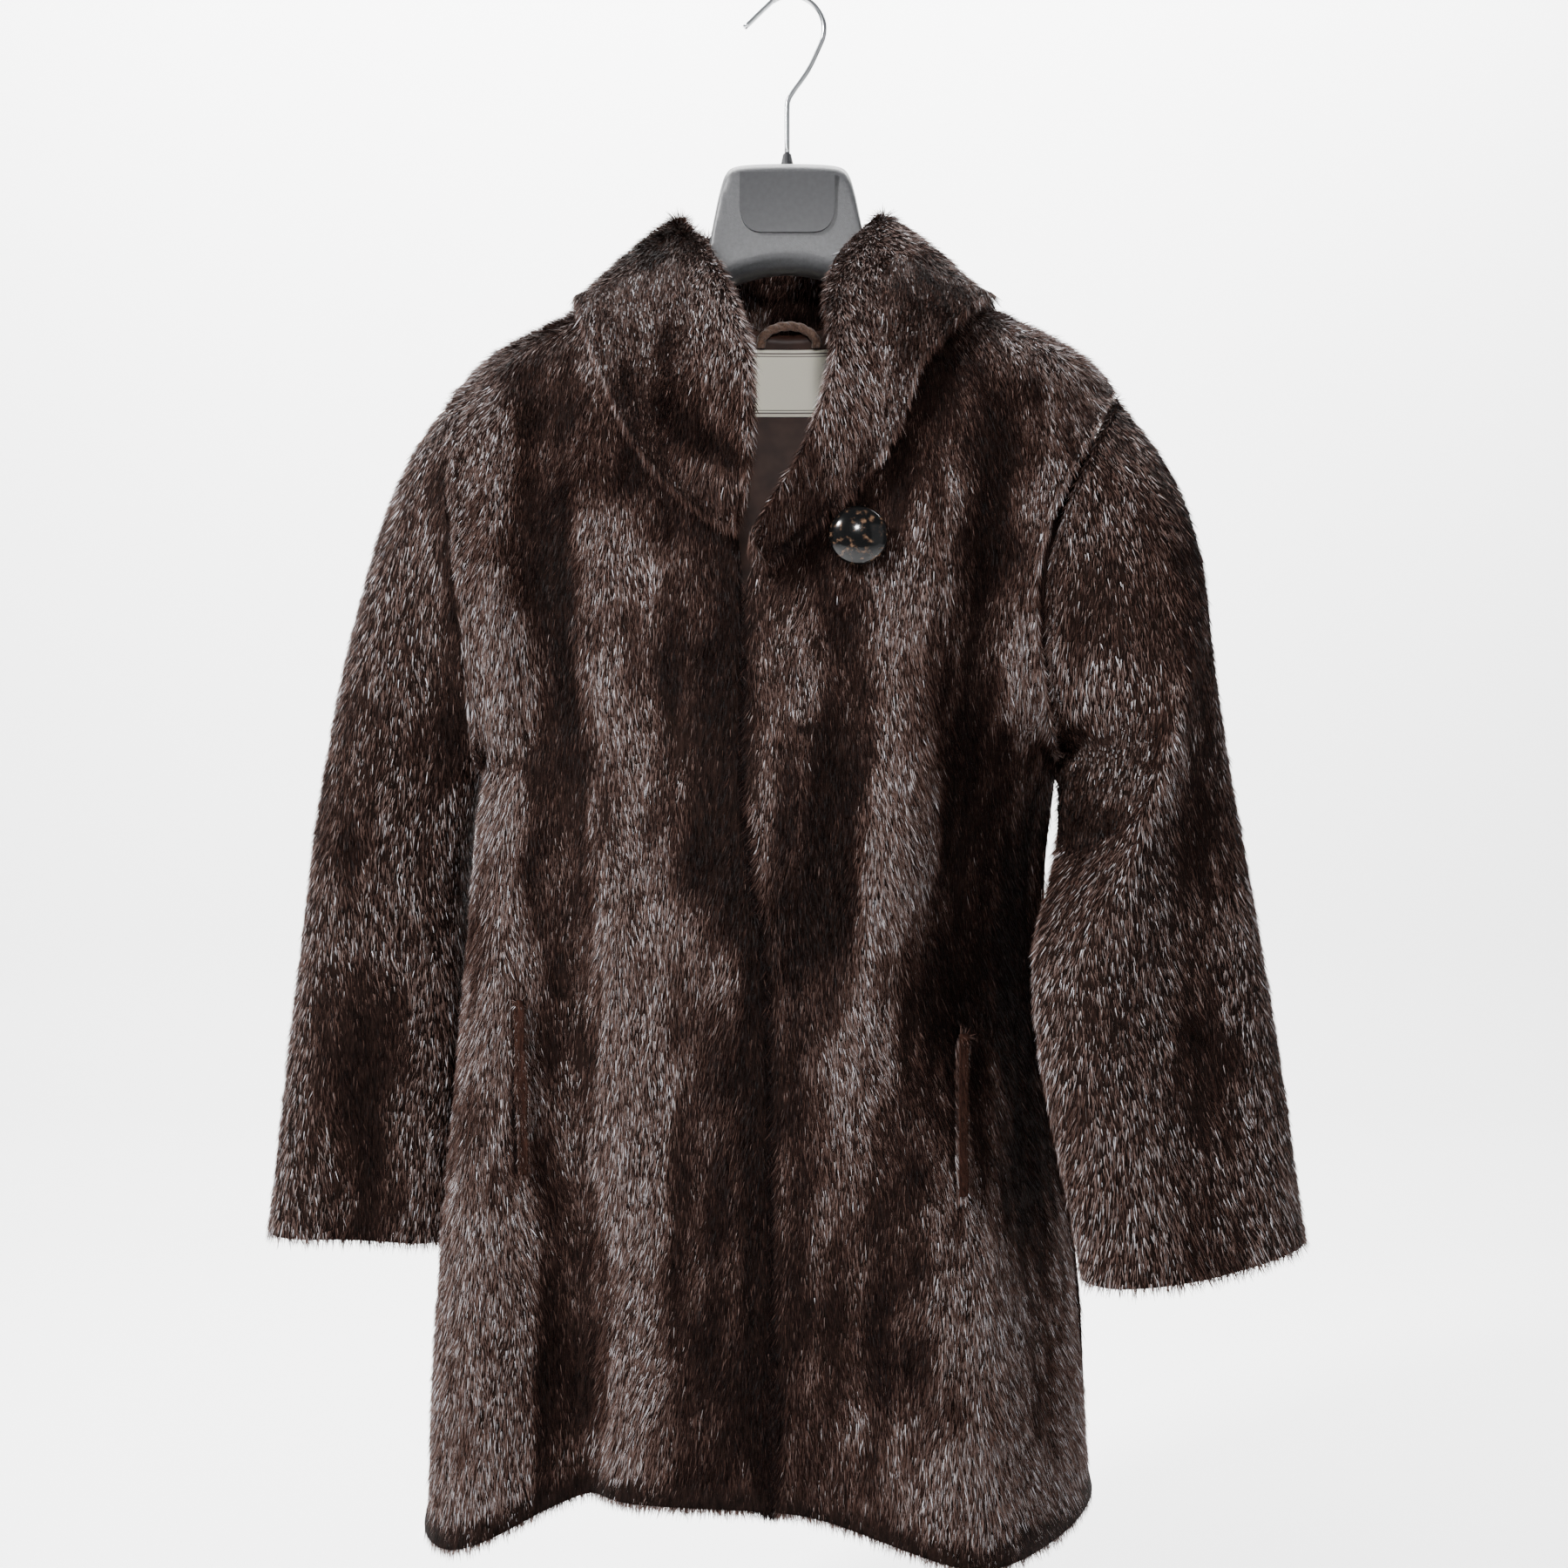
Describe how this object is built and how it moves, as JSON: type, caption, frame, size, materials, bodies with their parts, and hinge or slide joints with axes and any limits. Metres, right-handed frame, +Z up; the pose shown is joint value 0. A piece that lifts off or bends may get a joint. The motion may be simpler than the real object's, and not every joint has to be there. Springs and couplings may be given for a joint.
{
  "type": "fur coat on a hanger",
  "caption": "Fur coat with a shawl collar, one domed button and slit pockets, hung open at the neck on a broad plastic hanger with a steel hook.",
  "frame": {"origin": "inside top of the hook, where it rests on a rail, in the middle plane of the hanger", "axes": "+Z up, -Y out of the coat's front, +X to the wearer's left, with the hanger's arms along X"},
  "size_m": [0.666, 0.2513, 0.9685],
  "materials": {
    "fur": "long dark brown fur with a silvery sheen on its guard hairs",
    "lining": "brown satin",
    "label": "cream woven satin",
    "cord": "twisted brown cord",
    "button": "polished near-black",
    "plastic": "fine-textured grey",
    "plaque": "smooth dark grey",
    "steel": "bright steel wire"
  },
  "bodies": {
    "root": {"front_left": "fur", "front_right": "fur", "back": "fur", "sleeve_left": "fur", "sleeve_right": "fur", "collar": "fur", "lining_back": "lining", "label": "label", "hanging_loop": "cord", "button": "button", "pocket_welt_right": "fur", "pocket_welt_left": "fur", "hanger": "plastic", "hanger_plaque": "plaque", "hook_ferrule": "plastic", "hook": "steel"}
  },
  "joints": []
}
